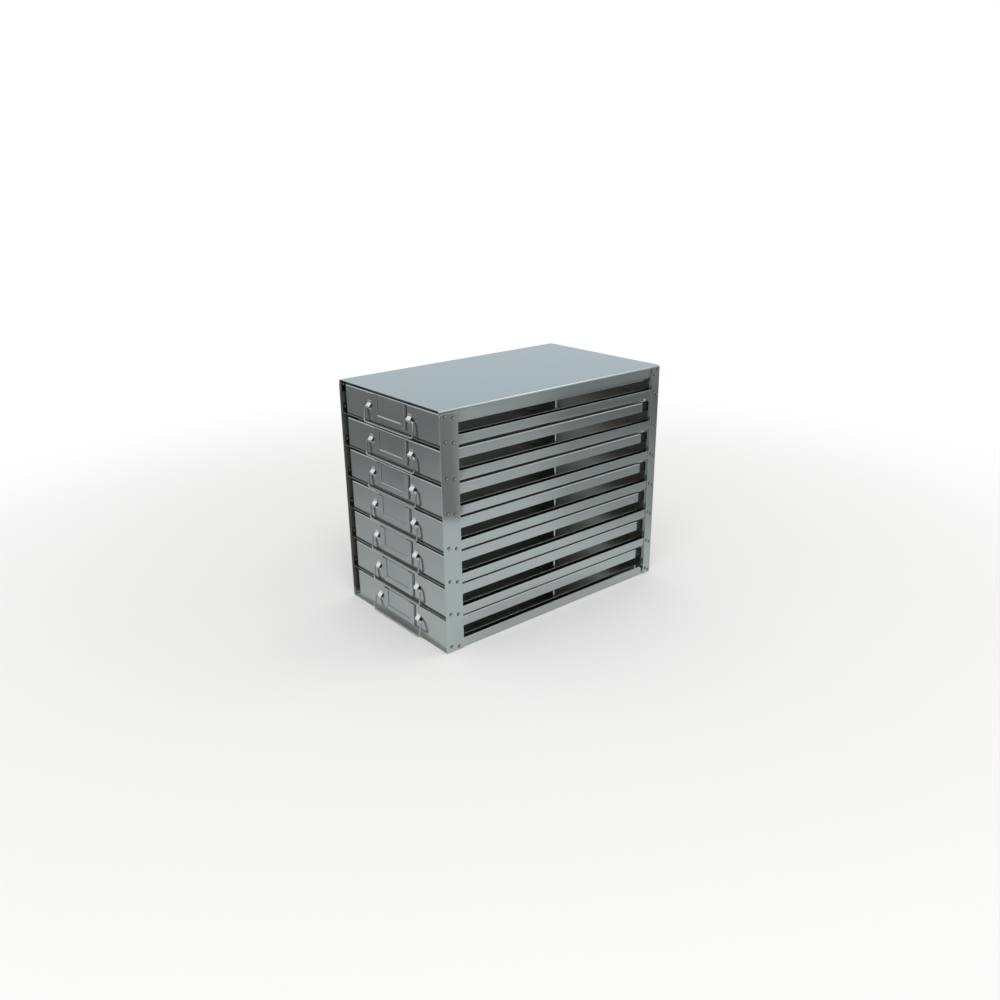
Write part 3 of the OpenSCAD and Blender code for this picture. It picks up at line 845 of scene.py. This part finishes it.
def distance_ramp(tree, start, end, low, high, middle=(0, 0, 0)):
    """A value that goes from low to high between two distances from a place on the floor."""
    place = add(tree, "ShaderNodeTexCoord", output="Object")
    reach = add(tree, VECTOR_MATH, {0: place, 1: middle}, "Value", operation="DISTANCE")
    return add(tree, MAP_RANGE, span(reach, start, end, low, high), **SMOOTH)


def seen_rays(tree):
    """1 for rays that come from the camera or from metal, 0 for the rays that light the floor."""
    path = add(tree, "ShaderNodeLightPath").node.outputs
    some = add(tree, MATH, {0: path["Is Camera Ray"], 1: path["Is Glossy Ray"]}, operation="MAXIMUM")
    return add(tree, MATH, {0: some, 1: path["Is Transmission Ray"]}, operation="MAXIMUM")


def studio_paper(stage):
    """Matt pale paper: it keeps the soft shadow near the rack and turns plain white further out."""
    made, tree, out = material_tree("studio_paper_matt")
    matt = add(tree, "ShaderNodeBsdfDiffuse", {"Color": (*stage.floor_tone, 1)})
    white = add(tree, "ShaderNodeEmission", {"Color": WHITE, "Strength": 1})
    far = add(tree, MATH, {0: distance_ramp(tree, 0.6, 1.6, 0, 1), 1: seen_rays(tree)}, operation="MULTIPLY")
    mixed = add(tree, "ShaderNodeMixShader", {0: far, 1: matt, 2: white})
    tree.links.new(mixed, out.inputs["Surface"])
    return made


def studio_pool(inner, outer):
    """Pool of light that only the steel reflects: it gives the upright faces their shading."""
    made, tree, out = material_tree("studio_pool_of_light")
    place = add(tree, "ShaderNodeTexCoord", output="Object")
    aside = add(tree, "ShaderNodeSeparateXYZ", {0: place}, "X")
    # Each ramp: the two distances in metres, then the light at each of them
    shares = [distance_ramp(tree, *ramp, POOL) for ramp in ((0.25, 0.85, 0.87, 0.62), (0.8, 1.5, 1, 0.54))]
    # It is darker far out to the left, where the upper fronts see it, and lighter far out to the right
    for ramp in ((-1.2, -0.5, 0.82, 1), (1.08, 1.32, 1, 1.5)):
        shares.append(add(tree, MAP_RANGE, span(aside, *ramp), **SMOOTH))
    # It falls off towards the rear right, past a line that runs out from the middle of the rack's side
    across = add(tree, VECTOR_MATH, {0: place, 1: (-0.92, 1, 0)}, "Value", operation="DOT_PRODUCT")
    past = add(tree, MAP_RANGE, span(across, -0.2, -0.06, 0, 0.27))
    shade = add(tree, MATH, {
        0: past, 1: distance_ramp(tree, 1.35, 1.7, 1, 0, (1.5, 1.35, 0))}, operation="MULTIPLY")
    shares.append(add(tree, MATH, {0: 1, 1: shade}, operation="SUBTRACT"))
    level = 1
    for part in shares:
        level = add(tree, MATH, {0: level, 1: part}, operation="MULTIPLY")
    glow = add(tree, "ShaderNodeEmission", {"Color": (0.95, 1, 0.985, 1), "Strength": level})
    clear = add(tree, "ShaderNodeBsdfTransparent")
    rims = add(tree, MATH, {
        0: distance_ramp(tree, inner, inner + 0.1, 0, 1),
        1: distance_ramp(tree, outer - 1, outer, 1, 0)}, operation="MULTIPLY")
    mixed = add(tree, "ShaderNodeMixShader", {0: rims, 1: clear, 2: glow})
    tree.links.new(mixed, out.inputs["Surface"])
    return made


def studio_world(stage):
    """White all round for the camera and the steel, softer for what the floor receives."""
    world = bpy.data.worlds.new("studio_white")
    world.use_nodes = True
    tree = world.node_tree
    tree.nodes.clear()
    strength = add(tree, MAP_RANGE, span(seen_rays(tree), 0, 1, stage.sky, 1))
    # The steel sees a cool grey backdrop behind the rack, low down, which gives the top panel its tone
    way = add(tree, "ShaderNodeTexCoord", output="Generated")
    behind = add(tree, VECTOR_MATH, {0: way, 1: (-0.7, 0.66, 0.12)}, "Value", operation="DOT_PRODUCT")
    metal = add(tree, "ShaderNodeLightPath", output="Is Glossy Ray")
    cool = add(tree, MAP_RANGE, span(behind, 0.6, 0.95, 0, 1), **SMOOTH)
    cool = add(tree, MATH, {0: cool, 1: metal}, operation="MULTIPLY")
    hue = add(tree, MIX, {"Factor": cool, 6: WHITE, 7: (*stage.back_tone, 1)}, 2, data_type="RGBA")
    even = add(tree, "ShaderNodeBackground", {"Color": hue, "Strength": strength})
    add(tree, "ShaderNodeOutputWorld", {"Surface": even})
    return world


def studio_camera():
    """The camera, turned about the upright, tipped down and rolled as it was solved."""
    level = cos(CAMERA_RISE)
    ahead = Vector((-sin(CAMERA_TURN) * level, cos(CAMERA_TURN) * level, -sin(CAMERA_RISE)))
    right = ahead.cross(Vector((0, 0, 1))).normalized()
    above = right.cross(ahead)
    tilted = right * cos(CAMERA_ROLL) + above * sin(CAMERA_ROLL)
    top = above * cos(CAMERA_ROLL) - right * sin(CAMERA_ROLL)
    data = bpy.data.cameras.new("studio_camera")
    data.lens, data.sensor_width, data.clip_start = CAMERA_LENS, 36, 0.01
    camera = in_scene("studio_camera", data)
    turned = Matrix((tilted, top, -ahead)).transposed().to_4x4()
    camera.matrix_world = Matrix.Translation(CAMERA_PLACE) @ turned
    return camera


class RACK_OT_stage(bpy.types.Operator):
    """Set the floor, the light and the camera"""
    bl_idname = "rack.stage"
    bl_label = "Studio"

    def execute(self, context):
        scene, stage = context.scene, context.scene.rack_stage
        far, square = 30, [(0, 1, 2, 3)]
        paper = studio_paper(stage)
        corners = [(-far, -far, 0), (far, -far, 0), (far, far, 0), (-far, far, 0)]
        stage_mesh("studio_floor", corners, square, paper)
        inner, outer, sides, height = 0.2, 3.6, 48, 0.002
        pool = studio_pool(inner, outer)
        turns = [2 * pi * s / sides for s in range(sides)]
        points = [(radius * cos(a), radius * sin(a), height) for radius in (inner, outer) for a in turns]
        ring = [(s, (s + 1) % sides, sides + (s + 1) % sides, sides + s) for s in range(sides)]
        # Narrow dark flag that the front post reflects in its upper half
        flag, tree, out = material_tree("studio_flag_dark")
        dark = add(tree, "ShaderNodeEmission", {"Color": (*stage.flag_tone, 1), "Strength": 1})
        tree.links.new(dark, out.inputs["Surface"])
        start, end, side = Vector((0.6, 0.11, 0.004)), Vector((2.1, 1.22, 0.004)), Vector((0.596, -0.803, 0))
        left, right = side * -0.026, side * 0.09
        corners = [start + left, start + right, end + right, end + left]
        for card in (stage_mesh("studio_pool", points, ring, pool),
                     stage_mesh("studio_flag", corners, square, flag)):
            card.visible_camera = card.visible_shadow = card.visible_diffuse = False
        # The steel finds these surfaces by its own reflections, which leaves less noise than aiming at them
        for made in (paper, pool, flag):
            made.cycles.emission_sampling = "NONE"
        scene.world = studio_world(stage)
        for name, power, place, size in LAMPS:
            soft = bpy.data.lights.new(name, "AREA")
            soft.shape, soft.energy = "RECTANGLE", getattr(stage, power)
            soft.size, soft.size_y = size
            lamp = in_scene(name, soft)
            lamp.location = place
            lamp.rotation_euler = (Vector(place) - Vector(LAMP_AIM)).to_track_quat("Z", "Y").to_euler()
        scene.camera = studio_camera()
        scene.view_settings.view_transform = "Standard"
        return {"FINISHED"}


MAKERS = (RACK_OT_top_panel, RACK_OT_shelves, RACK_OT_posts, RACK_OT_rivets, RACK_OT_trays, RACK_OT_fronts,
          RACK_OT_dividers, RACK_OT_label_holders, RACK_OT_clips, RACK_OT_bails, RACK_OT_stage)


class RACK_PT_sidebar(bpy.types.Panel):
    bl_idname = "RACK_PT_sidebar"
    bl_label = "Freezer drawer rack"
    bl_space_type = "VIEW_3D"
    bl_region_type = "UI"
    bl_category = "Rack"

    def draw(self, context):
        for maker in MAKERS:
            self.layout.operator(maker.bl_idname)


GROUPS = {"rack_frame": RackFrameSizes, "rack_drawer": RackDrawerSizes, "rack_handle": RackHandleSizes,
          "rack_rivet": RackRivetSizes, "rack_finish": RackFinish, "rack_stage": RackStage}


def register():
    for kind in (*GROUPS.values(), *MAKERS, RACK_PT_sidebar):
        bpy.utils.register_class(kind)
    for name, kind in GROUPS.items():
        setattr(bpy.types.Scene, name, bpy.props.PointerProperty(type=kind))


def unregister():
    for name in GROUPS:
        delattr(bpy.types.Scene, name)
    for kind in (RACK_PT_sidebar, *MAKERS[::-1], *GROUPS.values()):
        bpy.utils.unregister_class(kind)


def main():
    """Register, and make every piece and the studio."""
    register()
    bpy.ops.rack.top_panel()
    bpy.ops.rack.shelves()
    bpy.ops.rack.posts()
    bpy.ops.rack.rivets()
    bpy.ops.rack.trays()
    bpy.ops.rack.fronts()
    bpy.ops.rack.dividers()
    bpy.ops.rack.label_holders()
    bpy.ops.rack.clips()
    bpy.ops.rack.bails()
    bpy.ops.rack.stage()


if __name__ == "__main__":
    main()
